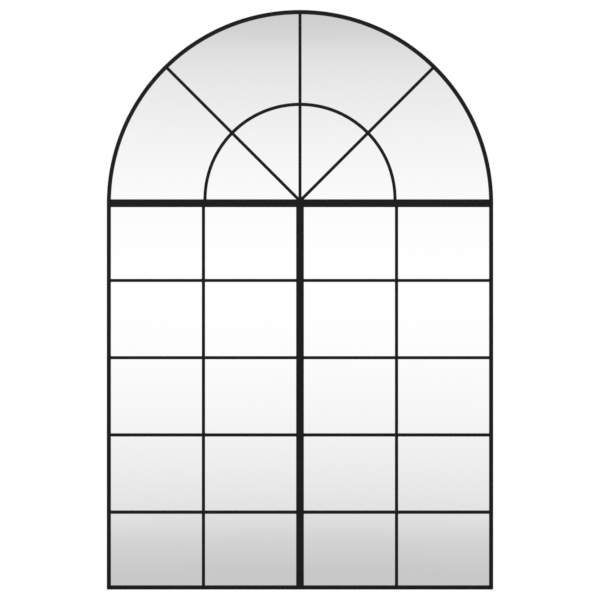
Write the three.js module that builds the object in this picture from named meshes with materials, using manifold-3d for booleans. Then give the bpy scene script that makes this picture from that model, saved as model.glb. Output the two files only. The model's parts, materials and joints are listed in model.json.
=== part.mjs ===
import * as THREE from 'three';
import { mergeVertices } from 'three/addons/utils/BufferGeometryUtils.js';
import Module from 'manifold-3d';

// An arched wall mirror with the look of a steel window: a frame of steel angle, flat bars welded in
// level with its face, three sheets of mirror glass behind them, and one board behind the glass.
// Millimetres. +X is the viewer's right, +Y runs back to the wall, +Z is up. The origin is the middle
// of the springline, level with the pivots of the hanging rings, on the plane of the frame's rear edge.

// Frame
const WIDTH = 1000; // over the stiles; the arch is a half circle across it
const LEG_HEIGHT = 1000; // underside of the frame to the springline
const DEPTH = 25; // face of the frame to its rear edge
const STEEL = 3; // thickness of the angle and of every flat bar
const LIP = 10; // face of the angle
const WELD_GAP = 0.3; // left at a welded end that meets a curve

// Bars
const COLUMNS = 4; // columns of panes below the springline
const ROWS = 5; // rows of panes below the springline
const WIDE_BAR = 20; // face of the transom and of the mullion
const THIN_BAR = 8; // face of every other bar
const FAN_RADIUS = 246; // middle of the small arch, about the transom's upper edge
const SPOKES = 3; // spokes in the fan, evenly spread
const LAP_GAP = 0.2; // beside a bar in the notch that takes it

// Glass and board
const GLASS = 4; // thickness
const GLASS_MARGIN = 2; // edge of the glass to the frame
const SHEET_GAP = 1; // between two sheets
const BOARD = 9; // thickness
const BOARD_MARGIN = 1; // edge of the board to the frame

// Screws
const SHANK_RADIUS = 2;
const SCREW_REACH = 7; // depth of the point in the board
const HEAD_RADIUS = 4;
const HEAD_HEIGHT = 2.4;
const HOLE_GAP = 0.3; // between a shank and its hole

// Tabs that hold the board
const TAB_THICKNESS = 1.5;
const TAB_WIDTH = 16;
const TAB_REACH = 22; // over the board, from the frame
const TAB_UPSTAND = 7; // up the frame, from the board
const TAB_SCREW_INSET = 14; // from the frame
const ARCH_TABS = 3;
const STILE_TABS = 3;
const FOOT_TABS = 2;

// Hangers
const HANGER_INSET = 120; // middle of a ring to the outside of the frame
const STRAP_THICKNESS = 1.5;
const STRAP_WIDTH = 16;
const STRAP_LENGTH = 54; // pivot to the strap's foot
const STRAP_SCREWS = [34, 46]; // below the pivot
const WIRE_RADIUS = 2;
const PIVOT_GAP = 0.3; // between the ring's wire and the strap's eye
const RING_HALF_WIDTH = 13; // middle of the wire
const RING_DROP = 22; // pivot to the middle of the wire at the foot of the ring
const RING_CORNER = 4;

// Bumpers
const BUMPER_RADIUS = 10;
const BUMPER_TAPER = 2; // less at its face than at its base
const BUMPER_PROUD = 2; // behind the frame's rear edge
const BUMPER_INSET = 32; // centre to the inside of the frame

// Facets
const ARCH_STEPS = 96; // along a half circle of the frame, glass or board
const HOLE_STEPS = 12; // round a hole, a screw or a bumper
const RING_STEPS = 44; // along the ring
const WIRE_STEPS = 10; // round the ring's wire

const RADIUS = WIDTH / 2;
const FOOT = -LEG_HEIGHT;
const FRONT = -DEPTH;
const GLASS_FRONT = FRONT + STEEL;
const BOARD_FRONT = GLASS_FRONT + GLASS;
const BOARD_BACK = BOARD_FRONT + BOARD;
const LIP_INSIDE = RADIUS - LIP;
const WALL_INSIDE = RADIUS - STEEL;
const COLUMN_PITCH = WIDTH / COLUMNS;
const ROW_PITCH = LEG_HEIGHT / ROWS;
const HUB = WIDE_BAR / 2; // height of the small arch's centre, on the transom's upper edge
const HALF_LAP = FRONT + STEEL / 2;
const HOLE_RADIUS = SHANK_RADIUS + HOLE_GAP;
const EYE_RADIUS = WIRE_RADIUS + PIVOT_GAP;
const LOOP_RADIUS = EYE_RADIUS + STRAP_THICKNESS;
const PIVOT_Y = BOARD_BACK + LOOP_RADIUS;

const PAINT = { color: 0x2a2a2b, roughness: 0.5, metalness: 0.2 };
const SILVER = { color: 0xf2f5f4, roughness: 0.02, metalness: 1 };
const FIBREBOARD = { color: 0x8a6a48, roughness: 0.85, metalness: 0 };
const ZINC = { color: 0xb4b6b4, roughness: 0.35, metalness: 1 };
const RUBBER = { color: 0x1b1b1b, roughness: 0.9, metalness: 0 };

const wasm = await Module();
wasm.setup();

const mirror = new THREE.Group();

function add(name, geometry, finish, parent = mirror) {
  const mesh = new THREE.Mesh(geometry, new THREE.MeshStandardMaterial(finish));
  mesh.name = name;
  parent.add(mesh);
  return mesh;
}

function solidOf(geometry) {
  const bare = geometry.clone();
  bare.deleteAttribute('normal');
  bare.deleteAttribute('uv');
  const merged = mergeVertices(bare);
  return new wasm.Manifold(new wasm.Mesh({
    numProp: 3,
    vertProperties: new Float32Array(merged.attributes.position.array),
    triVerts: new Uint32Array(merged.index.array),
  }));
}

function geometryOf(solid) {
  const { vertProperties, triVerts } = solid.getMesh();
  const geometry = new THREE.BufferGeometry();
  geometry.setAttribute('position', new THREE.BufferAttribute(vertProperties, 3));
  geometry.setIndex(new THREE.BufferAttribute(triVerts, 1));
  geometry.computeVertexNormals();
  return geometry;
}

function cut(geometry, cutters) {
  return geometryOf(cutters.reduce((left, cutter) => left.subtract(solidOf(cutter)), solidOf(geometry)));
}

// A plate between two planes square to Y. Its outline is drawn in X and Z.
const UPRIGHT = new THREE.Matrix4().makeBasis(
  new THREE.Vector3(1, 0, 0),
  new THREE.Vector3(0, 0, 1),
  new THREE.Vector3(0, -1, 0),
);

function plate(outline, front, back, steps = ARCH_STEPS) {
  const options = { depth: back - front, bevelEnabled: false, curveSegments: steps / 2 };
  return new THREE.ExtrudeGeometry(outline, options).applyMatrix4(UPRIGHT).translate(0, back, 0);
}

function polygon(...corners) {
  return new THREE.Shape(corners.map(([x, z]) => new THREE.Vector2(x, z)));
}

function rectangle(left, right, bottom, top) {
  return polygon([left, bottom], [right, bottom], [right, top], [left, top]);
}

// Half a ring standing on a level line.
function hoop(level, inner, outer) {
  const outline = new THREE.Shape();
  outline.absarc(0, level, outer, 0, Math.PI, false);
  outline.absarc(0, level, inner, Math.PI, 0, true);
  outline.closePath();
  return outline;
}

// The part of a disc that lies above a level line.
function dome(level, radius) {
  const start = Math.asin(level / radius);
  const outline = new THREE.Shape();
  outline.absarc(0, 0, radius, start, Math.PI - start, false);
  outline.closePath();
  return outline;
}

// Steel angle: a lip across the front, and a wall back to the wall behind. Each face is an outline
// that is drawn for the width it is to have.
function angle(face) {
  const lip = solidOf(plate(face(LIP), FRONT, GLASS_FRONT));
  const wall = solidOf(plate(face(STEEL), FRONT, 0));
  return geometryOf(lip.add(wall));
}

function stileFace(side, width) {
  return polygon(
    [side * RADIUS, 0],
    [side * (RADIUS - width), 0],
    [side * (RADIUS - width), FOOT + width],
    [side * RADIUS, FOOT],
  );
}

function railFace(width) {
  return polygon(
    [-RADIUS, FOOT],
    [RADIUS, FOOT],
    [RADIUS - width, FOOT + width],
    [width - RADIUS, FOOT + width],
  );
}

function addFrame() {
  add('arch_rim', angle((width) => hoop(0, RADIUS - width, RADIUS)), PAINT);
  add('left_stile', angle((width) => stileFace(-1, width)), PAINT);
  add('right_stile', angle((width) => stileFace(1, width)), PAINT);
  add('bottom_rail', angle(railFace), PAINT);
}

// The transom's ends are square, so it stops where its upper corners meet the arch.
function addWideBars() {
  const reach = Math.sqrt(LIP_INSIDE ** 2 - HUB ** 2) - WELD_GAP;
  add('transom', plate(rectangle(-reach, reach, -HUB, HUB), FRONT, GLASS_FRONT), PAINT);
  const mullion = rectangle(-WIDE_BAR / 2, WIDE_BAR / 2, FOOT + LIP, -HUB);
  add('mullion', plate(mullion, FRONT, GLASS_FRONT), PAINT);
}

function upright(x, width) {
  return rectangle(x - width / 2, x + width / 2, FOOT + LIP, -HUB);
}

function level(side, z, width) {
  const ends = [side * LIP_INSIDE, side * (WIDE_BAR / 2)].sort((a, b) => a - b);
  return rectangle(ends[0], ends[1], z - width / 2, z + width / 2);
}

// Where two thin bars cross, each has half its thickness notched away: the level ones from behind,
// and the upright ones from in front.
function addThinBars() {
  const notch = THIN_BAR + 2 * LAP_GAP;
  const columns = [];
  for (let column = 1; column < COLUMNS / 2; column += 1) {
    columns.push(column * COLUMN_PITCH);
  }
  const rows = [];
  for (let row = 1; row < ROWS; row += 1) {
    rows.push(-row * ROW_PITCH);
  }
  for (const [side, hand] of [[-1, 'left'], [1, 'right']]) {
    columns.forEach((x, index) => {
      const bar = plate(upright(side * x, THIN_BAR), FRONT, GLASS_FRONT);
      const notches = rows.map((z) => plate(level(side, z, notch), FRONT, HALF_LAP));
      add(`${hand}_upright_bar_${index + 1}`, cut(bar, notches), PAINT);
    });
    rows.forEach((z, index) => {
      const bar = plate(level(side, z, THIN_BAR), FRONT, GLASS_FRONT);
      const notches = columns.map((x) => plate(upright(side * x, notch), HALF_LAP, GLASS_FRONT));
      add(`${hand}_level_bar_${index + 1}`, cut(bar, notches), PAINT);
    });
  }
}

// The spokes turn evenly about the fan's centre. The middle one stands on the transom, and the others
// run out from the corners at its foot.
function spokeLines() {
  const lines = [];
  for (let spoke = 1; spoke <= SPOKES; spoke += 1) {
    const places = (SPOKES + 1) / 2 - spoke; // from the middle spoke
    const foot = new THREE.Vector2((Math.sign(places) * THIN_BAR) / 2, HUB);
    lines.push({ foot, turn: (spoke * Math.PI) / (SPOKES + 1), rank: Math.abs(places) });
  }
  return lines;
}

function strip({ foot, turn }, width) {
  const along = new THREE.Vector2(Math.cos(turn), Math.sin(turn));
  const across = new THREE.Vector2(-along.y, along.x).multiplyScalar(width / 2);
  const end = foot.clone().addScaledVector(along, RADIUS);
  return new THREE.Shape([
    foot.clone().sub(across),
    end.clone().sub(across),
    end.clone().add(across),
    foot.clone().add(across),
  ]);
}

// The small arch is notched from behind where it crosses the spokes, and they from in front. A spoke's
// foot is cut to a point against the transom and the spokes nearer the middle.
function addFan() {
  const inner = FAN_RADIUS - THIN_BAR / 2;
  const outer = FAN_RADIUS + THIN_BAR / 2;
  const lines = spokeLines();
  const notch = THIN_BAR + 2 * LAP_GAP;
  const arc = plate(hoop(HUB, inner, outer), FRONT, GLASS_FRONT);
  const arcNotches = lines.map((line) => plate(strip(line, notch), HALF_LAP, GLASS_FRONT));
  add('fan_arc', cut(arc, arcNotches), PAINT);

  const daylight = solidOf(plate(dome(HUB, LIP_INSIDE - WELD_GAP), FRONT, GLASS_FRONT));
  const crossing = plate(hoop(HUB, inner - LAP_GAP, outer + LAP_GAP), FRONT, HALF_LAP);
  lines.forEach((line, index) => {
    const blank = solidOf(plate(strip(line, THIN_BAR), FRONT, GLASS_FRONT)).intersect(daylight);
    const nearer = lines.filter((other) => other.rank < line.rank);
    const cleared = nearer.map((other) => plate(strip(other, THIN_BAR + 2 * WELD_GAP), FRONT, GLASS_FRONT));
    add(`fan_spoke_${index + 1}`, cut(geometryOf(blank), [crossing, ...cleared]), PAINT);
  });
}

function addGlass() {
  const edge = WALL_INSIDE - GLASS_MARGIN;
  const bottom = FOOT + STEEL + GLASS_MARGIN;
  const half = SHEET_GAP / 2;
  add('fanlight_mirror', plate(dome(half, edge), GLASS_FRONT, BOARD_FRONT), SILVER);
  add('left_mirror', plate(rectangle(-edge, -half, bottom, -half), GLASS_FRONT, BOARD_FRONT), SILVER);
  add('right_mirror', plate(rectangle(half, edge, bottom, -half), GLASS_FRONT, BOARD_FRONT), SILVER);
}

// Where the tabs stand: a point on the inside of the frame's wall, and the turn that points a tab's
// own X axis inwards.
function tabPlaces() {
  const places = [];
  for (let tab = 0; tab < ARCH_TABS; tab += 1) {
    const turn = ((tab + 1) * Math.PI) / (ARCH_TABS + 1);
    const x = WALL_INSIDE * Math.cos(turn);
    const z = WALL_INSIDE * Math.sin(turn);
    places.push({ name: `arch_${tab + 1}`, x, z, turn: Math.PI - turn });
  }
  for (let tab = 0; tab < STILE_TABS; tab += 1) {
    const z = (FOOT * (tab + 0.5)) / STILE_TABS;
    places.push({ name: `left_${tab + 1}`, x: -WALL_INSIDE, z, turn: 0 });
    places.push({ name: `right_${tab + 1}`, x: WALL_INSIDE, z, turn: Math.PI });
  }
  for (let tab = 0; tab < FOOT_TABS; tab += 1) {
    const x = WIDTH * ((tab + 0.5) / FOOT_TABS - 0.5);
    places.push({ name: `foot_${tab + 1}`, x, z: FOOT + STEEL, turn: -Math.PI / 2 });
  }
  return places;
}

const TAB_PLACES = tabPlaces();
const HANGER_PLACES = [
  { name: 'left', x: HANGER_INSET - RADIUS },
  { name: 'right', x: RADIUS - HANGER_INSET },
];

function drill(x, z, front, back) {
  const outline = new THREE.Shape();
  outline.absarc(x, z, HOLE_RADIUS, 0, 2 * Math.PI, false);
  return plate(outline, front, back, HOLE_STEPS);
}

// One arched board, with a blind hole for each screw.
function addBoard() {
  const edge = WALL_INSIDE - BOARD_MARGIN;
  const bottom = FOOT + STEEL + BOARD_MARGIN;
  const outline = new THREE.Shape();
  outline.absarc(0, 0, edge, 0, Math.PI, false);
  outline.lineTo(-edge, bottom);
  outline.lineTo(edge, bottom);
  outline.closePath();
  const holes = [];
  for (const { x, z, turn } of TAB_PLACES) {
    const holeX = x + TAB_SCREW_INSET * Math.cos(turn);
    const holeZ = z - TAB_SCREW_INSET * Math.sin(turn);
    holes.push(drill(holeX, holeZ, BOARD_BACK - SCREW_REACH - HOLE_GAP, BOARD_BACK + STEEL));
  }
  for (const { x } of HANGER_PLACES) {
    for (const drop of STRAP_SCREWS) {
      holes.push(drill(x, -drop, BOARD_BACK - SCREW_REACH - HOLE_GAP, BOARD_BACK + STEEL));
    }
  }
  add('backing_board', cut(plate(outline, BOARD_FRONT, BOARD_BACK), holes), FIBREBOARD);
}

// A pan-head screw along Y, with the underside of its head at the origin.
function screw(length) {
  const profile = [
    [0, -length],
    [SHANK_RADIUS, SHANK_RADIUS * 1.5 - length],
    [SHANK_RADIUS, 0],
    [HEAD_RADIUS, 0],
    [HEAD_RADIUS, HEAD_HEIGHT * 0.4],
    [HEAD_RADIUS * 0.8, HEAD_HEIGHT * 0.85],
    [HEAD_RADIUS * 0.4, HEAD_HEIGHT],
    [0, HEAD_HEIGHT],
  ];
  return new THREE.LatheGeometry(profile.map(([r, y]) => new THREE.Vector2(r, y)), HOLE_STEPS);
}

// A strip of sheet steel spot-welded to the frame's wall and bent over the board, with one screw.
function addTabs() {
  const corners = [
    [WELD_GAP, 0],
    [TAB_REACH, 0],
    [TAB_REACH, TAB_THICKNESS],
    [WELD_GAP + TAB_THICKNESS, TAB_THICKNESS],
    [WELD_GAP + TAB_THICKNESS, TAB_UPSTAND],
    [WELD_GAP, TAB_UPSTAND],
  ];
  const section = new THREE.Shape(corners.map(([x, y]) => new THREE.Vector2(x, y)));
  const blank = new THREE.ExtrudeGeometry(section, { depth: TAB_WIDTH, bevelEnabled: false });
  blank.translate(0, 0, -TAB_WIDTH / 2);
  const hole = drill(TAB_SCREW_INSET, 0, -TAB_THICKNESS, 2 * TAB_THICKNESS);
  for (const { name, x, z, turn } of TAB_PLACES) {
    const place = new THREE.Group();
    place.position.set(x, BOARD_BACK, z);
    place.rotation.y = turn;
    mirror.add(place);
    add(`tab_${name}`, cut(blank, [hole]), PAINT, place);
    const fixing = add(`tab_screw_${name}`, screw(SCREW_REACH + TAB_THICKNESS), ZINC, place);
    fixing.position.set(TAB_SCREW_INSET, TAB_THICKNESS, 0);
  }
}

// A strap folded round the ring's wire. Its section is drawn in Y and Z about the pivot, and its
// foot is rounded.
function strap() {
  const seat = -LOOP_RADIUS;
  const face = seat + STRAP_THICKNESS;
  const rejoin = Math.acos(face / LOOP_RADIUS);
  const section = new THREE.Shape();
  section.moveTo(seat, -STRAP_LENGTH);
  section.lineTo(seat, 0);
  section.absarc(0, 0, LOOP_RADIUS, Math.PI, -rejoin, true);
  section.lineTo(face, -STRAP_LENGTH);
  section.closePath();
  const eye = new THREE.Path();
  eye.absarc(0, 0, EYE_RADIUS, 0, 2 * Math.PI, false);
  section.holes.push(eye);
  const options = { depth: STRAP_WIDTH, bevelEnabled: false, curveSegments: HOLE_STEPS / 2 };
  const folded = new THREE.ExtrudeGeometry(section, options);
  folded.applyMatrix4(new THREE.Matrix4().makeBasis(
    new THREE.Vector3(0, 1, 0),
    new THREE.Vector3(0, 0, 1),
    new THREE.Vector3(1, 0, 0),
  ));
  folded.translate(-STRAP_WIDTH / 2, 0, 0);

  const half = STRAP_WIDTH / 2;
  const outline = new THREE.Shape();
  outline.moveTo(half, LOOP_RADIUS + half);
  outline.lineTo(-half, LOOP_RADIUS + half);
  outline.absarc(0, half - STRAP_LENGTH, half, Math.PI, 2 * Math.PI, false);
  outline.closePath();
  const rounded = solidOf(plate(outline, -2 * LOOP_RADIUS, 2 * LOOP_RADIUS, HOLE_STEPS));
  const blank = geometryOf(solidOf(folded).intersect(rounded));
  return cut(blank, STRAP_SCREWS.map((drop) => drill(0, -drop, 2 * seat, LOOP_RADIUS)));
}

// The ring's wire follows a D that hangs from its straight side.
class RingPath extends THREE.Curve {
  constructor() {
    super();
    const flat = RING_HALF_WIDTH - RING_CORNER;
    const belly = RING_HALF_WIDTH - RING_DROP;
    this.outline = new THREE.Path();
    this.outline.moveTo(-flat, 0);
    this.outline.lineTo(flat, 0);
    this.outline.absarc(flat, -RING_CORNER, RING_CORNER, Math.PI / 2, 0, true);
    this.outline.absarc(0, belly, RING_HALF_WIDTH, 0, -Math.PI, true);
    this.outline.absarc(-flat, -RING_CORNER, RING_CORNER, Math.PI, Math.PI / 2, true);
  }

  getPoint(share, target = new THREE.Vector3()) {
    const point = this.outline.getPointAt(share);
    return target.set(point.x, 0, point.y);
  }
}

function addHangers() {
  for (const { name, x } of HANGER_PLACES) {
    const place = new THREE.Group();
    place.position.set(x, PIVOT_Y, 0);
    mirror.add(place);
    add(`${name}_hanger_strap`, strap(), ZINC, place);
    const ring = new THREE.TubeGeometry(new RingPath(), RING_STEPS, WIRE_RADIUS, WIRE_STEPS, true);
    add(`${name}_hanger_ring`, ring, ZINC, place);
    STRAP_SCREWS.forEach((drop, index) => {
      const fixing = screw(SCREW_REACH + STRAP_THICKNESS);
      const mesh = add(`${name}_hanger_screw_${index + 1}`, fixing, ZINC, place);
      mesh.position.set(0, STRAP_THICKNESS - LOOP_RADIUS, -drop);
    });
  }
}

// Soft studs on the board, near the feet of the stiles, that keep the frame off the wall.
function addBumpers() {
  const height = BUMPER_PROUD - BOARD_BACK;
  const face = BUMPER_RADIUS - BUMPER_TAPER;
  const profile = [
    [0, 0],
    [BUMPER_RADIUS, 0],
    [face, height - BUMPER_TAPER],
    [face - BUMPER_TAPER, height],
    [0, height],
  ];
  for (const [side, hand] of [[-1, 'left'], [1, 'right']]) {
    const points = profile.map(([r, y]) => new THREE.Vector2(r, y));
    const bumper = add(`${hand}_bumper`, new THREE.LatheGeometry(points, HOLE_STEPS), RUBBER);
    const x = side * (WALL_INSIDE - BUMPER_INSET);
    bumper.position.set(x, BOARD_BACK, FOOT + STEEL + BUMPER_INSET);
  }
}

addFrame();
addWideBars();
addThinBars();
addFan();
addGlass();
addBoard();
addTabs();
addHangers();
addBumpers();

export default mirror;
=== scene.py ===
"""The looks of an arched window mirror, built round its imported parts.

Metres. +X is the viewer's right, +Y runs back to the wall and +Z is up, so the mirror faces -Y.
The origin is the middle of the springline, on the plane of the frame's rear edge.
"""
import json
import math

import bmesh
import bpy
import numpy as np
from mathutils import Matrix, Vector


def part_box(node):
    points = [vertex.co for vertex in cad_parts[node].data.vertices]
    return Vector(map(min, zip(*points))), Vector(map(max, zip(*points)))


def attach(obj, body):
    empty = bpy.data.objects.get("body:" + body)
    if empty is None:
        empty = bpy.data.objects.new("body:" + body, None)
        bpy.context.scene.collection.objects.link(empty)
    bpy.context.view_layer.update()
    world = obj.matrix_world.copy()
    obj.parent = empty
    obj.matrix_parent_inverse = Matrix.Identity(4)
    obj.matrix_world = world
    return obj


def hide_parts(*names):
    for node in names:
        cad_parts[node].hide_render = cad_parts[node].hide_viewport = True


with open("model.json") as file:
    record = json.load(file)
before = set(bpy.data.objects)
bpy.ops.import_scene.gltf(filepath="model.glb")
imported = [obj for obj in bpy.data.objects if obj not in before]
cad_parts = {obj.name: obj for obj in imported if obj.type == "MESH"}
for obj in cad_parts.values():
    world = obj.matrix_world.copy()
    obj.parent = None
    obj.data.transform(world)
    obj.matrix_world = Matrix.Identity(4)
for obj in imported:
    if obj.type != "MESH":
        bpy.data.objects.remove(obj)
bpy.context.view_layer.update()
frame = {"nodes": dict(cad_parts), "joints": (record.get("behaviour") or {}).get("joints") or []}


# ---- Camera ----
# It stands square to the glass and level with the middle of the mirror, far enough back that the
# frame shows little but its face. The lens gives the mirror the width that it has in the picture.
PICTURE_PIXELS = 600
MIRROR_PIXELS = 386.5
CAMERA_DISTANCE = 3.0  # in front of the frame's face
CAMERA_DROP = 0.0006  # below the middle of the mirror, which brings the bars level with the photo's
SENSOR_MM = 36.0

(left, front, foot), (right, rear, _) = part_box("bottom_rail")
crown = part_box("arch_rim")[1].z
radius = (right - left) / 2

camera_data = bpy.data.cameras.new("camera")
camera_data.sensor_width = SENSOR_MM
view_width = (right - left) * PICTURE_PIXELS / MIRROR_PIXELS
camera_data.lens = SENSOR_MM * CAMERA_DISTANCE / view_width
camera = bpy.data.objects.new("camera", camera_data)
camera.location = (0.0, front - CAMERA_DISTANCE, (crown + foot) / 2 - CAMERA_DROP)
camera.rotation_euler = (math.pi / 2, 0.0, 0.0)
bpy.context.collection.objects.link(camera)
bpy.context.scene.camera = camera
bpy.context.scene.view_settings.view_transform = "Standard"


# ---- Room ----
# A pale room. What the glass and the metal show of it is brightest at eye level and greyer above and
# below, with a soft step where its walls end. The camera itself sees plain white behind the mirror.
BAND_HEIGHT = 0.012  # sine of the elevation where the room is brightest
BAND_PEAK = 1.037
BAND_FALL = 6.75  # lost per square of the sine away from the band
WALL_ENDS = (0.19, 0.218)  # sines between which the walls give way to the floor and the ceiling
WALL_STEP = 0.05
FAR_FROM_BAND = (0.25, 0.55)  # sines between which the floor and the ceiling grow pale again
ROOM_LEVELS = (0.6, 0.82)
AIR_LEVEL = 0.62  # the even light that falls on matt surfaces


def reckon(tree, operation, *values):
    """A Math node. Each value is a number, or another node's output."""
    node = tree.nodes.new("ShaderNodeMath")
    node.operation = operation
    for socket, value in zip(node.inputs, values):
        if isinstance(value, (int, float)):
            socket.default_value = value
        else:
            tree.links.new(value, socket)
    return node.outputs[0]


def ranged(tree, factor, limits, results, smooth=False):
    """A Map Range node: between its two limits the factor gives a value between the two results."""
    node = tree.nodes.new("ShaderNodeMapRange")
    node.interpolation_type = "SMOOTHSTEP" if smooth else "LINEAR"
    for socket, value in zip(("From Min", "From Max", "To Min", "To Max"), (*limits, *results)):
        node.inputs[socket].default_value = value
    tree.links.new(factor, node.inputs["Value"])
    return node.outputs["Result"]


room = bpy.data.worlds.new("room")
bpy.context.scene.world = room
room.use_nodes = True
air = room.node_tree
heading = air.nodes.new("ShaderNodeSeparateXYZ")
air.links.new(air.nodes.new("ShaderNodeTexCoord").outputs["Generated"], heading.inputs[0])
off_band = reckon(air, "SUBTRACT", heading.outputs["Z"], BAND_HEIGHT)
fall = reckon(air, "MULTIPLY", reckon(air, "MULTIPLY", off_band, off_band), BAND_FALL)
away = reckon(air, "ABSOLUTE", off_band)
step = ranged(air, away, WALL_ENDS, (0.0, WALL_STEP), smooth=True)
band = reckon(air, "SUBTRACT", reckon(air, "SUBTRACT", BAND_PEAK, fall), step)
shown = reckon(air, "MAXIMUM", band, ranged(air, away, FAR_FROM_BAND, ROOM_LEVELS, smooth=True))
ray = air.nodes.new("ShaderNodeLightPath").outputs
mirrored = reckon(air, "MAXIMUM", ray["Is Glossy Ray"], ray["Is Transmission Ray"])
more_shown = reckon(air, "MULTIPLY", mirrored, reckon(air, "SUBTRACT", shown, AIR_LEVEL))
lit = reckon(air, "ADD", AIR_LEVEL, more_shown)
to_white = reckon(air, "MULTIPLY", ray["Is Camera Ray"], reckon(air, "SUBTRACT", 1.0, lit))
air.links.new(reckon(air, "ADD", lit, to_white), air.nodes["Background"].inputs["Strength"])
air.nodes["Background"].inputs["Color"].default_value = (1.0, 1.0, 1.0, 1.0)


# ---- Floor and lamps ----
# A round pale floor below the hanging mirror, which fades into the room before its edge, and four
# soft lamps above, two before the glass and two behind it, where the glass doesn't show them.
FLOOR_DROP = 0.62  # below the mirror's foot
FLOOR_RADIUS = 2.2
FLOOR_HOOPS = 23
FLOOR_STEPS = 96  # round it
FADE = (0.9, 2.1)  # distances from the middle between which the floor fades
FLOOR_TONES = ((0.83,) * 3, (0.85,) * 3)
GRAIN_SPAN = (0.3, 0.7)  # what most of a grain's noise lies between
LAMP_SIZE = 1.6
LAMPS = {  # place, and watts
    "front_left_lamp": ((-2.6, -2.8, 2.6), 50.0),
    "front_right_lamp": ((2.8, -2.6, 2.2), 36.0),
    "back_left_lamp": ((-2.6, 2.8, 2.2), 40.0),
    "back_right_lamp": ((2.8, 2.6, 2.6), 52.0),
}


def new_finish(name, settings):
    """A material with these values on its shader's own sockets."""
    finish = bpy.data.materials.new(name)
    finish.use_nodes = True
    for socket, value in settings.items():
        finish.node_tree.nodes["Principled BSDF"].inputs[socket].default_value = value
    return finish


def grain(finish, scale, detail=2.0, stretch=(1.0, 1.0, 1.0)):
    """Noise over the piece's own coordinates, with scale times stretch as its cycles a metre."""
    nodes, links = finish.node_tree.nodes, finish.node_tree.links
    place = nodes.new("ShaderNodeMapping")
    place.inputs["Scale"].default_value = stretch
    links.new(nodes.new("ShaderNodeTexCoord").outputs["Object"], place.inputs["Vector"])
    noise = nodes.new("ShaderNodeTexNoise")
    noise.inputs["Scale"].default_value = scale
    noise.inputs["Detail"].default_value = detail
    links.new(place.outputs["Vector"], noise.inputs["Vector"])
    return noise.outputs["Fac"]


def colour_from(finish, factor, tones, limits=GRAIN_SPAN):
    """The shader's colour runs from the first tone to the second as the factor crosses its limits."""
    nodes, links = finish.node_tree.nodes, finish.node_tree.links
    ramp = nodes.new("ShaderNodeValToRGB")
    for stop, place, tone in zip(ramp.color_ramp.elements, limits, tones):
        stop.position = place
        stop.color = (*tone, 1.0)
    links.new(factor, ramp.inputs["Fac"])
    links.new(ramp.outputs["Color"], nodes["Principled BSDF"].inputs["Base Color"])


# Rings of points about the middle, with one flat face inside the first ring.
outward = np.linspace(0.0, FLOOR_RADIUS, FLOOR_HOOPS + 1)[1:, None]
turns = np.linspace(0.0, 2 * np.pi, FLOOR_STEPS, endpoint=False)
hoops = np.broadcast_arrays(outward * np.cos(turns), outward * np.sin(turns), foot - FLOOR_DROP)
number = np.arange(FLOOR_HOOPS * FLOOR_STEPS).reshape(FLOOR_HOOPS, FLOOR_STEPS)
beside = np.roll(number, -1, axis=1)
between_hoops = np.stack([number[:-1], number[1:], beside[1:], beside[:-1]], axis=-1)
floor_mesh = bpy.data.meshes.new("floor")
floor_mesh.from_pydata(
    np.stack(hoops, axis=-1).reshape(-1, 3).tolist(),
    [],
    [number[0].tolist(), *between_hoops.reshape(-1, 4).tolist()],
)
floor = bpy.data.objects.new("floor", floor_mesh)
bpy.context.collection.objects.link(floor)

# Plain pale paint, which gives way to nothing between the two distances of the fade.
floor_paint = new_finish("floor_paint", {"Specular IOR Level": 0.0, "Roughness": 0.9})
colour_from(floor_paint, grain(floor_paint, scale=3.0), FLOOR_TONES)
paint = floor_paint.node_tree
level_only = paint.nodes.new("ShaderNodeVectorMath")
level_only.operation = "MULTIPLY"
level_only.inputs[1].default_value = (1.0, 1.0, 0.0)
paint.links.new(paint.nodes.new("ShaderNodeTexCoord").outputs["Object"], level_only.inputs[0])
from_middle = paint.nodes.new("ShaderNodeVectorMath")
from_middle.operation = "LENGTH"
paint.links.new(level_only.outputs["Vector"], from_middle.inputs[0])
faded = ranged(paint, from_middle.outputs["Value"], FADE, (0.0, 1.0), smooth=True)
nothing = paint.nodes.new("ShaderNodeBsdfTransparent")
blend = paint.nodes.new("ShaderNodeMixShader")
paint.links.new(faded, blend.inputs["Fac"])
paint.links.new(paint.nodes["Principled BSDF"].outputs["BSDF"], blend.inputs[1])
paint.links.new(nothing.outputs["BSDF"], blend.inputs[2])
paint.links.new(blend.outputs["Shader"], paint.nodes["Material Output"].inputs["Surface"])
floor_mesh.materials.append(floor_paint)

mirror_middle = camera.location.copy()
mirror_middle.y = 0.0
for name, (place, watts) in LAMPS.items():
    lamp_data = bpy.data.lights.new(name, "AREA")
    lamp_data.energy = watts
    lamp_data.size = LAMP_SIZE
    lamp = bpy.data.objects.new(name, lamp_data)
    lamp.location = place
    lamp.rotation_euler = (mirror_middle - lamp.location).to_track_quat("-Z", "Y").to_euler()
    lamp.visible_camera = False
    bpy.context.collection.objects.link(lamp)


# ---- Frame ----
# Steel angle, mitred and welded at the two feet, rolled to a half circle at the head and ground
# smooth, with a satin near-black powder coat. Its lip holds the glass in, and its wall hides the rest.
SIDES = {"left": -1, "right": 1}  # with its way along X
STEEL = 0.003
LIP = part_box("bottom_rail")[1].z - foot
OUTER_EASE = 0.0006  # outside corner of the angle
ROOT_EASE = 0.001  # inside corner
EDGE_EASE = 0.0003  # broken edge of cut steel
EASE_STEPS = 4
ARCH_STEPS = 240
RUN_STEPS = 3  # rows of points in a straight length
SHARP_ANGLE = math.radians(40)  # faces that meet at more than this don't shade into each other


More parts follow.
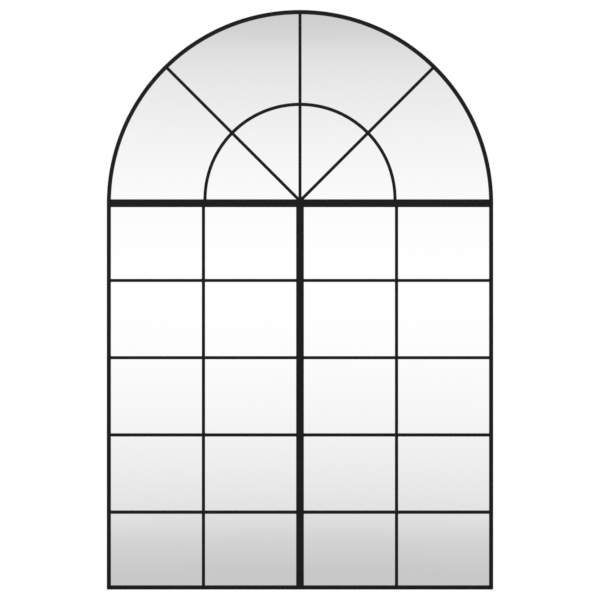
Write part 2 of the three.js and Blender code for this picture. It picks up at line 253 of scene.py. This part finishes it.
def roughness_from(finish, factor, limits):
    """The shader's roughness runs from the first limit to the second with the factor."""
    rough = ranged(finish.node_tree, factor, GRAIN_SPAN, limits)
    finish.node_tree.links.new(rough, finish.node_tree.nodes["Principled BSDF"].inputs["Roughness"])


def bump_from(finish, factor, strength, height):
    """The factor raises the surface by up to this height, in metres."""
    nodes, links = finish.node_tree.nodes, finish.node_tree.links
    bump = nodes.new("ShaderNodeBump")
    bump.inputs["Strength"].default_value = strength
    bump.inputs["Distance"].default_value = height
    links.new(factor, bump.inputs["Height"])
    links.new(bump.outputs["Normal"], nodes["Principled BSDF"].inputs["Normal"])


def grained_finish(name, settings, tones, mottle, roughness, haze):
    """A finish whose colour runs between two tones over one grain, the mottle, and its roughness
    between two limits over another, the haze."""
    finish = new_finish(name, settings)
    colour_from(finish, grain(finish, **mottle), tones)
    roughness_from(finish, grain(finish, **haze), roughness)
    return finish


black_paint = grained_finish(
    "black_paint",
    {"Specular IOR Level": 0.14},
    tones=((0.0045,) * 3, (0.0068,) * 3),
    mottle={"scale": 5.0, "detail": 4.0},
    roughness=(0.42, 0.56),
    haze={"scale": 60.0, "detail": 3.0},
)
bump_from(black_paint, grain(black_paint, scale=700.0, detail=1.0), strength=0.06, height=0.00004)


def eased(corners, eases):
    """An outline of square corners, each turned into a quarter circle. With d and e the directions
    that arrive at and leave a corner, its centre is the corner - ease d + ease e, and its points are
    the centre + ease (d sin - e cos), as the angle goes from nothing to a quarter turn."""
    corners, eases = np.array(corners), np.array(eases)[:, None, None]
    arriving = corners - np.roll(corners, 1, axis=0)
    arriving = (arriving / np.linalg.norm(arriving, axis=1, keepdims=True))[:, None]
    leaving = np.roll(arriving, -1, axis=0)
    swing = np.linspace(0.0, np.pi / 2, EASE_STEPS)[None, :, None]
    centres = corners[:, None] + eases * (leaving - arriving)
    return (centres + eases * (arriving * np.sin(swing) - leaving * np.cos(swing))).reshape(-1, 2)


def skin(grid, closed=False, ladder=False):
    """Faces over a grid of points whose columns go round the piece, or over several such grids. The
    first and last rows are capped: by one face, or by a ladder of them from one half of the row to the
    other, where an end isn't flat. They join instead where the piece closes on itself."""
    number = np.arange(grid[..., 0].size).reshape(-1, *grid.shape[-3:-1])
    ends = number[:, [0, -1]].reshape(-1, number.shape[2])
    if closed:
        number = np.concatenate([number, number[:, :1]], axis=1)
    beside = np.roll(number, -1, axis=2)
    sides = np.stack([number[:, :-1], beside[:, :-1], beside[:, 1:], number[:, 1:]], axis=-1)
    if closed:
        caps = ends[:0]
    elif ladder:
        half = ends.shape[1] // 2
        one, other = ends[:, :half], ends[:, ::-1][:, :half]
        caps = np.stack([one[:, :-1], one[:, 1:], other[:, 1:], other[:, :-1]], axis=-1).reshape(-1, 4)
    else:
        caps = ends
    return sides.reshape(-1, 4).tolist() + caps.tolist()


def add_piece(name, points, faces, finish, nodes, body="mirror"):
    """A piece with its faces turned outwards, which rides on the body and stands for the nodes."""
    mesh = bpy.data.meshes.new(name)
    mesh.from_pydata(points.reshape(-1, 3).tolist(), [], faces)
    shape = bmesh.new()
    shape.from_mesh(mesh)
    bmesh.ops.recalc_face_normals(shape, faces=shape.faces)
    shape.to_mesh(mesh)
    shape.free()
    mesh.polygons.foreach_set("use_smooth", [True] * len(mesh.polygons))
    mesh.set_sharp_from_angle(angle=SHARP_ANGLE)
    mesh.materials.append(finish)
    piece = bpy.data.objects.new(name, mesh)
    bpy.context.collection.objects.link(piece)
    shading = piece.modifiers.new("flat_faces", "WEIGHTED_NORMAL")
    shading.keep_sharp = True
    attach(piece, body)
    if nodes:
        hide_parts(*nodes)
    return piece


def add_steel(node, grid, ladder=False):
    """A painted steel piece over the grid, which stands for the node."""
    add_piece(node + "_steel", grid, skin(grid, ladder=ladder), black_paint, [node])


angle_corners = [
    (0, front),
    (LIP, front),
    (LIP, front + STEEL),
    (STEEL, front + STEEL),
    (STEEL, rear),
    (0, rear),
]
angle_eases = [OUTER_EASE, EDGE_EASE, EDGE_EASE, ROOT_EASE, EDGE_EASE, EDGE_EASE]
inset, depth = eased(angle_corners, angle_eases).T

# The head: the section turned about the middle of the springline.
sweep = np.linspace(0.0, np.pi, ARCH_STEPS + 1)[:, None]
reach = radius - inset
head = np.broadcast_arrays(reach * np.cos(sweep), depth, reach * np.sin(sweep))
add_steel("arch_rim", np.stack(head, axis=-1))

# The stiles: the section drawn from its mitre at the foot up to the springline.
share = np.linspace(0.0, 1.0, RUN_STEPS)[:, None]
for side, way in SIDES.items():
    stile = np.broadcast_arrays(way * reach, depth, (foot + inset) * (1 - share))
    add_steel(f"{side}_stile", np.stack(stile, axis=-1))

# The bottom rail: the section drawn from mitre to mitre.
rail = np.broadcast_arrays(reach * (2 * share - 1), depth, foot + inset)
add_steel("bottom_rail", np.stack(rail, axis=-1))


# ---- Transom, mullion and glazing bars ----
# Flat steel bar, welded into the frame level with its face and coated with it. Where two thin bars
# cross they are halved over each other: the level ones pass in front, and the upright ones behind.
LEVEL_BARS = 4  # on each side of the mullion
LAP_SLOPE = 0.00005  # run of the step in a halved bar

half_lap = front + STEEL / 2
rim_inside = radius - LIP
level_bars = [f"{side}_level_bar_{row}" for side in SIDES for row in range(1, LEVEL_BARS + 1)]
upright_bars = [f"{side}_upright_bar_1" for side in SIDES]
boxes = {name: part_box(name) for name in ("transom", "mullion", *level_bars, *upright_bars)}
middles = {name: (low + high) / 2 for name, (low, high) in boxes.items()}
hub = boxes["transom"][1].z
wide_half = boxes["mullion"][1].x
thin_half = (boxes["left_upright_bar_1"][1].x - boxes["left_upright_bar_1"][0].x) / 2
column = middles["right_upright_bar_1"].x
rows = [middles[name].z for name in level_bars[:LEVEL_BARS]]


def halved(start, end, crossings=(), half_gap=0.0, pinched=()):
    """Stations along a bar, each with the depth of its front and its back. Within half a gap of a
    crossing, those are the pinched ones."""
    plain = (front, front + STEEL)
    stations = [(start, *plain), (end, *plain)]
    for crossing in crossings:
        for way in (-1, 1):
            stations.append((crossing + way * half_gap, *plain))
            stations.append((crossing + way * (half_gap - LAP_SLOPE), *pinched))
    return np.array(sorted(stations))


def flat_bar(stations, half_width, place, start=None, end=None):
    """A rectangle with broken edges, carried along the stations and put in X and Z by place. Its depth
    is the station's front + the share of the thickness x (back - front). start and end give the first
    and last station for each distance across, where an end isn't square. The middle of the front and
    of the back are points too, so that an end may come to a point there."""
    outline = [(-half_width, 0), (half_width, 0), (half_width, STEEL), (-half_width, STEEL)]
    across, through = eased(outline, [EDGE_EASE] * 4).T
    across = np.insert(across, [EASE_STEPS, 3 * EASE_STEPS], 0.0)
    through = np.insert(through, [EASE_STEPS, 3 * EASE_STEPS], [0.0, STEEL])
    along, near, far = (values[:, None] for values in stations.T)
    along = along + np.zeros_like(across)
    if start:
        along[0] = start(across)
    if end:
        along[-1] = end(across)
    x, z = place(along, across)
    y = near + (far - near) * through / STEEL
    return np.stack(np.broadcast_arrays(x, y, z), axis=-1)


def rim_reach(height):
    """Half the width inside the frame at a height. Above the springline it is the root of the inside
    radius squared - the height squared, and below it the inside radius."""
    return np.sqrt(rim_inside**2 - np.maximum(height, 0.0) ** 2)


transom = flat_bar(
    halved(-rim_inside, rim_inside),
    hub,
    lambda along, across: (along, across),
    start=lambda across: -rim_reach(across),
    end=rim_reach,
)
add_steel("transom", transom, ladder=True)

for name in level_bars:
    (start, *_), (end, *_) = boxes[name]
    stations = halved(start, end, [math.copysign(column, start)], thin_half, (front, half_lap))
    height = middles[name].z
    bar = flat_bar(stations, thin_half, lambda along, across: (along, height + across))
    add_steel(name, bar, ladder=True)

for name in ("mullion", *upright_bars):
    crossings = [] if name == "mullion" else rows
    stations = halved(foot + LIP, -hub, crossings, thin_half, (half_lap, front + STEEL))
    half_width = wide_half if name == "mullion" else thin_half
    x = middles[name].x
    bar = flat_bar(stations, half_width, lambda along, across: (x + across, along))
    add_steel(name, bar, ladder=True)


# ---- Fan ----
# A small arch of the thin bar stands on the transom, and passes in front of three spokes that run on
# to the frame. The side spokes start in the corners between the middle one and the transom, and are
# cut to a point there.
SPOKE_PITCH = math.pi / 4  # from the transom to a side spoke, and from it to the middle one
ARC_STEPS = 160
NOTCH_ROOM = 1.2  # times half a notch: how far from its middle the arch's even stations start

arc_centre = np.array([0.0, hub])
arc_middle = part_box("fan_arc")[1].x - thin_half

# Each spoke is the point where its middle line starts, and the direction in which it runs.
spokes = {}
for spoke, way in enumerate((1, 0, -1), start=1):
    turn = spoke * SPOKE_PITCH
    start = np.array([way * thin_half, hub])
    spokes[f"fan_spoke_{spoke}"] = (start, np.array([math.cos(turn), math.sin(turn)]))


def arc_place(along, across):
    """Bends a bar round the small arch's centre: along is the angle, and across adds to the radius."""
    return (arc_middle + across) * np.cos(along), hub + (arc_middle + across) * np.sin(along)


def beside_line(start, ahead, across):
    """Points this far to the left of a line's start."""
    return start + np.multiply.outer(across, (-ahead[1], ahead[0]))


def out_to(start, ahead, bend):
    """How far ahead of its start a line meets a circle about the origin. It is the farther root s of
    s squared + 2 s (start . ahead) + start squared = bend squared."""
    nearing = start @ ahead
    return np.sqrt(nearing**2 + bend**2 - (start**2).sum(axis=-1)) - nearing


# Where each spoke crosses the small arch: how far along the spoke, and at which angle of the arch.
crossed_at = {}
for name, (start, ahead) in spokes.items():
    along_spoke = out_to(start - arc_centre, ahead, arc_middle)
    x, z = start - arc_centre + along_spoke * ahead
    crossed_at[name] = (along_spoke, math.atan2(z, x))

half_notch = thin_half / arc_middle
notches = [turn for _, turn in crossed_at.values()]
notched = halved(0.0, np.pi, notches, half_notch, (front, half_lap))
even = np.linspace(0.0, np.pi, ARC_STEPS + 1)[1:-1]
even = even[np.all([abs(even - turn) > NOTCH_ROOM * half_notch for turn in notches], axis=0)]
plain = np.tile([0.0, front, front + STEEL], (even.size, 1))
plain[:, 0] = even
arc = np.concatenate([notched, plain])
arc = arc[np.argsort(arc[:, 0], kind="stable")]
add_steel("fan_arc", flat_bar(arc, thin_half, arc_place), ladder=True)

for name, (start, ahead) in spokes.items():
    along_spoke, _ = crossed_at[name]
    stations = halved(0.0, rim_inside - hub, [along_spoke], thin_half, (half_lap, front + STEEL))
    spoke = flat_bar(
        stations,
        thin_half,
        lambda along, across: (
            start[0] + along * ahead[0] - across * ahead[1],
            start[1] + along * ahead[1] + across * ahead[0],
        ),
        # a side spoke lies at 45 degrees to both its neighbours, so its point falls back as it widens
        start=np.abs if start[0] else None,
        end=lambda across: out_to(beside_line(start, ahead, across), ahead, rim_inside),
    )
    add_steel(name, spoke, ladder=True)


# ---- Corner welds ----
# A little weld metal fills each inside corner between the bars and the frame. It is ground level
# with the face, painted with the rest, and just rounds the corner.
WELD_LEG = 0.0009
WELD_LAP = 0.0004  # into the bars beside the corner
WELD_SINK = 0.00005  # below their faces
WELD_STEPS = 5

# Each corner is its point, and the directions of the two edges that leave it.
weld_corners = []
out, up = spokes["fan_spoke_1"][1]
for way in SIDES.values():
    inside = way * rim_inside
    weld_corners += [
        ((inside, foot + LIP), (-way, 0), (0, 1)),
        ((inside, -hub), (-way, 0), (0, -1)),
        ((way * rim_reach(hub), hub), (-way, 0), (0, 1)),
        ((way * wide_half, -hub), (way, 0), (0, -1)),
        ((way * wide_half, foot + LIP), (way, 0), (0, 1)),
        ((way * (arc_middle + thin_half), hub), (way, 0), (0, 1)),
        ((way * (arc_middle - thin_half), hub), (-way, 0), (0, 1)),
        ((way * thin_half * (1 + 1 / up), hub), (way, 0), (way * out, up)),
        ((way * thin_half, hub + thin_half / out), (0, 1), (way * out, up)),
    ]
    for flank in (-1, 1):
        edge = way * column + flank * thin_half
        weld_corners.append(((edge, -hub), (flank, 0), (0, -1)))
        weld_corners.append(((edge, foot + LIP), (flank, 0), (0, 1)))
        for row in rows:
            for rise in (-1, 1):
                weld_corners.append(((edge, row + rise * thin_half), (flank, 0), (0, rise)))
    for row in rows:
        for rise in (-1, 1):
            weld_corners.append(((way * wide_half, row + rise * thin_half), (way, 0), (0, rise)))
            weld_corners.append(((inside, row + rise * thin_half), (-way, 0), (0, rise)))

for start, ahead in spokes.values():
    for flank in (-1, 1):
        aside = beside_line(np.zeros(2), ahead, flank)
        edge = start + thin_half * aside
        for way in (-1, 1):
            met = edge + out_to(edge - arc_centre, ahead, arc_middle + way * thin_half) * ahead
            weld_corners.append((met, way * ahead, aside))
        weld_corners.append((edge + out_to(edge, ahead, rim_inside) * ahead, -ahead, aside))

point, one, other = (np.array(values, dtype=float)[:, None] for values in zip(*weld_corners))
one_leg = point + WELD_LEG * one
other_leg = point + WELD_LEG * other
# The hollow leans on the corner: (1-s)^2 x one leg's end + 2s(1-s) x the corner + s^2 x the other's.
share = np.linspace(0.0, 1.0, WELD_STEPS)[None, :, None]
hollow = (1 - share) ** 2 * one_leg + 2 * share * (1 - share) * point + share**2 * other_leg
outline = np.concatenate(
    [
        point - WELD_LAP * (one + other),
        one_leg - WELD_LAP * other,
        hollow,
        other_leg - WELD_LAP * one,
    ],
    axis=1,
)
near = np.insert(outline, 1, front + WELD_SINK, axis=2)
far = np.insert(outline, 1, front + STEEL - WELD_SINK, axis=2)
welds = np.stack([near, far], axis=1)
add_piece("corner_welds", welds, skin(welds), black_paint, [])


# ---- Mirror glass ----
# Three sheets of clear float glass, silvered and painted on the back, with ground edges, lie against
# the back of the bars. The joints between them hide behind the transom and the mullion.
ARRIS = 0.0005

silvered_glass = grained_finish(
    "silvered_glass",
    {"Metallic": 1.0},
    tones=((0.954, 0.957, 0.955), (0.96, 0.962, 0.961)),
    mottle={"scale": 1.5},
    roughness=(0.0, 0.01),
    haze={"scale": 4.0},
)
ground_edge = grained_finish(
    "ground_glass_edge",
    {"Specular IOR Level": 0.5},
    tones=((0.16, 0.3, 0.23), (0.24, 0.4, 0.32)),
    mottle={"scale": 300.0},
    roughness=(0.25, 0.45),
    haze={"scale": 700.0},
)
back_paint = grained_finish(
    "mirror_back_paint",
    {"Specular IOR Level": 0.4},
    tones=((0.1, 0.11, 0.115), (0.13, 0.14, 0.145)),
    mottle={"scale": 40.0},
    roughness=(0.5, 0.65),
    haze={"scale": 90.0},
)
SILVERED, GROUND, PAINTED = range(3)  # the sheet's finishes, in the order in which it takes them


def slab(outline, near, far, arris):
    """A flat sheet in four rings of points. At both faces each corner is drawn in by the arris x the
    sum of its two edges' inward directions / (1 + their dot product), which is the arris from both."""
    along = np.roll(outline, -1, axis=0) - outline
    along /= np.linalg.norm(along, axis=1, keepdims=True)
    inward = np.stack([-along[:, 1], along[:, 0]], axis=1)
    before = np.roll(inward, 1, axis=0)
    dot = (inward * before).sum(axis=1, keepdims=True)
    drawn_in = outline + arris * (inward + before) / (1 + dot)
    depths = [(drawn_in, near), (outline, near + arris), (outline, far - arris), (drawn_in, far)]
    return np.array([np.insert(ring, 1, y, axis=1) for ring, y in depths])


for name in ("fanlight_mirror", "left_mirror", "right_mirror"):
    low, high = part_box(name)
    if name == "fanlight_mirror":
        reach = math.hypot(high.x, low.z)
        lift = math.asin(low.z / reach)
        edge = np.linspace(lift, np.pi - lift, ARCH_STEPS)
        outline = reach * np.stack([np.cos(edge), np.sin(edge)], axis=1)
    else:
        outline = np.array([(low.x, low.z), (high.x, low.z), (high.x, high.z), (low.x, high.z)])
    grid = slab(outline, low.y, high.y, ARRIS)
    sheet = add_piece(name + "_glass", grid, skin(grid), silvered_glass, [name])
    sheet.data.materials.append(ground_edge)
    sheet.data.materials.append(back_paint)
    # the faces between the rings of points come first, then the front and the back
    edge_faces = (len(grid) - 1) * len(outline)
    sheet.data.polygons.foreach_set("material_index", [GROUND] * edge_faces + [SILVERED, PAINTED])


# ---- Backing board ----
# One arched sheet of bare medium-density fibreboard, glued to the backs of the three mirrors. Its
# face is sanded smooth, and shows pressed fibres and darker flecks.
BOARD_ARRIS = 0.0006
FLECK_SPAN = (0.62, 0.74)  # the noise over which a fleck darkens
FLECK_DEPTHS = (0.0, 0.5)

fibreboard = new_finish("fibreboard", {"Specular IOR Level": 0.25})
fibres = grain(fibreboard, scale=900.0, detail=4.0, stretch=(1.0, 1.0, 0.6))
fleck_noise = grain(fibreboard, scale=520.0, detail=3.0)
flecks = ranged(fibreboard.node_tree, fleck_noise, FLECK_SPAN, FLECK_DEPTHS)
mottle = reckon(fibreboard.node_tree, "SUBTRACT", fibres, flecks)
colour_from(fibreboard, mottle, tones=((0.2, 0.125, 0.065), (0.45, 0.308, 0.18)), limits=(0.0, 0.75))
roughness_from(fibreboard, grain(fibreboard, scale=30.0), limits=(0.68, 0.85))
bump_from(fibreboard, grain(fibreboard, scale=800.0, detail=3.0), strength=0.3, height=0.0001)

low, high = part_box("backing_board")
board_back = high.y
edge = np.linspace(0.0, np.pi, ARCH_STEPS)
arch = high.x * np.stack([np.cos(edge), np.sin(edge)], axis=1)
outline = np.concatenate([arch, [(low.x, low.z), (high.x, low.z)]])
grid = slab(outline, low.y, board_back, BOARD_ARRIS)
add_piece("backing_board_sheet", grid, skin(grid), fibreboard, ["backing_board"])


# ---- Tabs ----
# Strips of sheet steel, spot-welded to the inside of the frame's wall, painted with it, and bent
# down over the board once the glass and the board are in.
TAB_THICKNESS = 0.0015
TAB_WIDTH = 0.016
TAB_REACH = 0.022  # over the board, from the wall
TAB_UPSTAND = 0.007  # up the wall, from the board
TAB_BEND = 0.0012  # inside the bend
TAB_CORNER = 0.003
SHEET_EASE = 0.0002
END_CUT = 0.12  # radians round its corner where a strip's end is cut off, so that it keeps some width
CORNER_STEPS = 8
BEND_STEPS = 9

wall_inside = radius - STEEL
screw_names = [name for name in frame["nodes"] if "_screw_" in name]
tab_names = [name.removeprefix("tab_screw_") for name in screw_names if name.startswith("tab_")]


def folded_strip(line, normal, half_widths, thickness, ease):
    """A strip of sheet metal. Each point is the middle line + the normal x how far it is through the
    thickness, in two coordinates, and its distance across is in proportion to the half width there."""
    half, width = thickness / 2, half_widths.max()
    across, through = eased([(-width, -half), (width, -half), (width, half), (-width, half)], [ease] * 4).T
    plane = line[:, None] + normal[:, None] * through[None, :, None]
    return plane, across * half_widths[:, None] / width


def round_end(corner, steps):
    """Stations from the end of a strip: the corner's radius x (1 - cos), as the angle goes from the
    cut to a quarter turn."""
    return corner * (1 - np.cos(np.linspace(END_CUT, np.pi / 2, steps)))


# The middle line: in from the tip over the board, round the bend, and up the wall.
bend_middle = TAB_BEND + TAB_THICKNESS / 2
bend_centre = TAB_BEND + TAB_THICKNESS
tip = round_end(TAB_CORNER, CORNER_STEPS)
turn = np.linspace(0.0, np.pi / 2, BEND_STEPS)
off_bend = np.stack([np.sin(turn), np.cos(turn)], axis=1)
leg = np.stack([TAB_REACH - tip, np.full_like(tip, TAB_THICKNESS / 2)], axis=1)
fold = bend_centre - bend_middle * off_bend
tab_line = np.concatenate([leg, fold, [(TAB_THICKNESS / 2, TAB_UPSTAND)]])
tab_normal = np.concatenate([np.tile([0.0, 1.0], (tip.size, 1)), off_bend, [(1.0, 0.0)]])
tab_widths = np.full(len(tab_line), TAB_WIDTH / 2)
tab_widths[: tip.size] += np.sqrt(TAB_CORNER**2 - (TAB_CORNER - tip) ** 2) - TAB_CORNER
tab_plane, tab_across = folded_strip(tab_line, tab_normal, tab_widths, TAB_THICKNESS, SHEET_EASE)

for name in tab_names:
    low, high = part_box("tab_screw_" + name)
    screw_at = np.array([low.x + high.x, low.z + high.z]) / 2
    if name.startswith("arch"):
        wall_at = screw_at * wall_inside / np.linalg.norm(screw_at)
    elif name.startswith("foot"):
        wall_at = np.array([screw_at[0], foot + STEEL])
    else:
        wall_at = np.array([math.copysign(wall_inside, screw_at[0]), screw_at[1]])
    inward = (screw_at - wall_at) / np.linalg.norm(screw_at - wall_at)
    x = wall_at[0] + tab_plane[..., 0] * inward[0] - tab_across * inward[1]
    z = wall_at[1] + tab_plane[..., 0] * inward[1] + tab_across * inward[0]
    grid = np.stack([x, board_back + tab_plane[..., 1], z], axis=-1)
    add_piece(f"tab_{name}_sheet", grid, skin(grid), black_paint, ["tab_" + name])


# ---- Screws ----
# Zinc-plated pan-head screws with a cross recess. One goes through each tab and two through each
# hanger strap, and they bite into the board.
SHANK_RADIUS = 0.002
HEAD_RADIUS = 0.004
HEAD_HEIGHT = 0.0024
HEAD_RIM = 0.0008  # height of the head's upright rim
RIM_EASE = 0.0002
POINT_LENGTH = 0.003
TIP_RADIUS = 0.0001
RECESS_HALF_WIDTH = 0.0005
RECESS_REACH = 0.0022
RECESS_DEPTH = 0.0013
RECESS_SLOPE = 0.0002
SCREW_STEPS = 120
DOME_STEPS = 30
SCREW_TWIST = 2.4  # radians from one screw's recess to the next one's

zinc_plate = grained_finish(
    "zinc_plate",
    {"Metallic": 1.0},
    tones=((0.5, 0.52, 0.535), (0.66, 0.675, 0.68)),
    mottle={"scale": 180.0, "detail": 4.0},
    roughness=(0.24, 0.42),
    haze={"scale": 350.0, "detail": 3.0},
)
bump_from(zinc_plate, grain(zinc_plate, scale=1500.0), strength=0.2, height=0.00003)

around = np.linspace(0.0, 2 * np.pi, SCREW_STEPS, endpoint=False)


def turned(reach, height, centre, angles):
    """A shape turned about a line along Y. X and Z are the centre + the reach x (cos, sin), and both
    the reach and the height may vary round it."""
    x = centre[0] + reach * np.cos(angles)
    z = centre[1] + reach * np.sin(angles)
    return np.stack(np.broadcast_arrays(x, height, z), axis=-1)


def screw_grid(low, high, twist):
    """A screw from its point to the middle of its head. The head is a quarter of an ellipse, less a
    cross: at a point whose nearer arm of the cross is n from it and whose reach is r, the depth is the
    recess depth x (1 - r / recess reach), and fades to nothing as n comes up to the half width."""
    under_head = high.y - HEAD_HEIGHT
    swing = np.linspace(0.0, np.pi / 2, DOME_STEPS)[:-1]
    dome = under_head + HEAD_RIM + (HEAD_HEIGHT - HEAD_RIM) * np.sin(swing)
    below_dome = [
        (TIP_RADIUS, low.y),
        (SHANK_RADIUS, low.y + POINT_LENGTH),
        (SHANK_RADIUS, under_head),
        (HEAD_RADIUS - RIM_EASE, under_head),
        (HEAD_RADIUS, under_head + RIM_EASE),
    ]
    rings = np.concatenate([below_dome, np.stack([HEAD_RADIUS * np.cos(swing), dome], axis=1)])
    reach, height = rings.T[:, :, None]
    nearer = (reach * np.abs([np.cos(around), np.sin(around)])[:, None]).min(axis=0)
    inside = np.clip((RECESS_HALF_WIDTH - nearer) / RECESS_SLOPE, 0.0, 1.0)
    recess = RECESS_DEPTH * np.clip(1 - reach / RECESS_REACH, 0.0, 1.0) * inside
    recess[: len(below_dome)] = 0.0
    centre = ((low.x + high.x) / 2, (low.z + high.z) / 2)
    return turned(reach, height - recess, centre, around + twist)


for count, name in enumerate(sorted(screw_names)):
    grid = screw_grid(*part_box(name), count * SCREW_TWIST)
    add_piece(name + "_plated", grid, skin(grid), zinc_plate, [name])


# ---- Hanger straps ----
# Strips of zinc-plated steel, rounded at the foot and folded over the straight side of a ring. Two
# screws through the board hold each one.
STRAP_THICKNESS = 0.0015
STRAP_HALF_WIDTH = 0.008
STRAP_END_STEPS = 14
FOLD_END = math.radians(-125)  # where the folded end comes back to the strap
FOLD_STEPS = 40

pivots = {joint["child"]: joint["pos_m"] for joint in frame["joints"]}
tip = round_end(STRAP_HALF_WIDTH, STRAP_END_STEPS)
turn = np.linspace(np.pi, FOLD_END, FOLD_STEPS)
off_pivot = np.stack([np.cos(turn), np.sin(turn)], axis=1)
for side in SIDES:
    node = f"{side}_hanger_strap"
    low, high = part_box(node)
    pivot_x, pivot_y, pivot_z = pivots[f"{side}_ring"]
    fold_middle = pivot_y - low.y - STRAP_THICKNESS / 2
    rise = np.stack([np.full_like(tip, low.y + STRAP_THICKNESS / 2), low.z + tip], axis=1)
    line = np.concatenate([rise, (pivot_y, pivot_z) + fold_middle * off_pivot])
    normal = np.concatenate([np.tile([-1.0, 0.0], (tip.size, 1)), off_pivot])
    widths = np.full(len(line), STRAP_HALF_WIDTH)
    widths[: tip.size] = np.sqrt(STRAP_HALF_WIDTH**2 - (STRAP_HALF_WIDTH - tip) ** 2)
    plane, across = folded_strip(line, normal, widths, STRAP_THICKNESS, SHEET_EASE)
    grid = np.stack([pivot_x + across, plane[..., 0], plane[..., 1]], axis=-1)
    add_piece(node + "_plated", grid, skin(grid), zinc_plate, [node])


# ---- Hanger rings ----
# D rings of bright zinc-plated wire, whose straight side turns in the fold of the strap. A ring
# hangs down over its strap until it is swung up on to a wall hook.
WIRE_RADIUS = 0.002
RING_HALF_WIDTH = 0.013  # middle of the wire
RING_DROP = 0.022  # pivot to the middle of the wire at the foot of the ring
RING_CORNER = 0.004
RING_CORNER_STEPS = 12
BELLY_STEPS = 48
WIRE_STEPS = 24

# The middle of the wire: three arcs, joined by straight runs. Each is its centre, radius, angles and
# steps.
straight = RING_HALF_WIDTH - RING_CORNER
belly = (0.0, RING_HALF_WIDTH - RING_DROP)
arcs = (
    ((straight, -RING_CORNER), RING_CORNER, (90, 0), RING_CORNER_STEPS),
    (belly, RING_HALF_WIDTH, (0, -180), BELLY_STEPS),
    ((-straight, -RING_CORNER), RING_CORNER, (180, 90), RING_CORNER_STEPS),
)
outwards, wire_line = [], []
for centre, bend, (start, end), steps in arcs:
    turn = np.radians(np.linspace(start, end, steps))
    outwards.append(np.stack([np.cos(turn), np.sin(turn)], axis=1))
    wire_line.append(centre + bend * outwards[-1])
outwards, wire_line = np.concatenate(outwards), np.concatenate(wire_line)

# The wire: the middle line + the wire's radius x (outwards cos + Y sin).
round_wire = np.linspace(0.0, 2 * np.pi, WIRE_STEPS, endpoint=False)
sideways = wire_line[:, None] + WIRE_RADIUS * outwards[:, None] * np.cos(round_wire)[None, :, None]
for side in SIDES:
    node = f"{side}_hanger_ring"
    pivot_x, pivot_y, pivot_z = pivots[f"{side}_ring"]
    y = pivot_y + WIRE_RADIUS * np.sin(round_wire) + np.zeros(sideways.shape[:2])
    grid = np.stack([pivot_x + sideways[..., 0], y, pivot_z + sideways[..., 1]], axis=-1)
    faces = skin(grid, closed=True)
    add_piece(node + "_wire", grid, faces, zinc_plate, [node], body=f"{side}_ring")


# ---- Bumpers ----
# Moulded rubber studs, stuck to the board near the frame's feet. They stand a little behind the
# frame's rear edge and keep it off the wall.
BUMPER_RIM = 0.0015
BUMPER_TAPER = 0.002
BUMPER_DISH = 0.0005
BUMPER_STEPS = 64
RIM_STEPS = 8
DISH_STEPS = 12
MIDDLE_SHARE = 0.05  # of a radius, for the small flat face in the middle of each side

rubber = grained_finish(
    "rubber",
    {"Specular IOR Level": 0.3},
    tones=((0.018, 0.018, 0.018), (0.034, 0.033, 0.032)),
    mottle={"scale": 90.0, "detail": 4.0},
    roughness=(0.7, 0.88),
    haze={"scale": 250.0},
)
bump_from(rubber, grain(rubber, scale=1400.0), strength=0.3, height=0.00006)

round_bumper = np.linspace(0.0, 2 * np.pi, BUMPER_STEPS, endpoint=False)
swing = np.linspace(0.0, np.pi / 2, RIM_STEPS)
for side in SIDES:
    node = f"{side}_bumper"
    low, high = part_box(node)
    base = (high.x - low.x) / 2
    face = base - BUMPER_TAPER - BUMPER_RIM
    inner = np.linspace(face, face * MIDDLE_SHARE, DISH_STEPS)[1:]
    reach = np.concatenate([[base * MIDDLE_SHARE, base], face + BUMPER_RIM * np.cos(swing), inner])
    rim_height = high.y - BUMPER_RIM + BUMPER_RIM * np.sin(swing)
    # the dish is shallowest at the rim: its depth is the most x (1 - (reach / face) squared)
    dish = high.y - BUMPER_DISH * (1 - (inner / face) ** 2)
    height = np.concatenate([[low.y, low.y], rim_height, dish])
    centre = ((low.x + high.x) / 2, (low.z + high.z) / 2)
    grid = turned(reach[:, None], height[:, None], centre, round_bumper)
    add_piece(node + "_rubber", grid, skin(grid), rubber, [node])
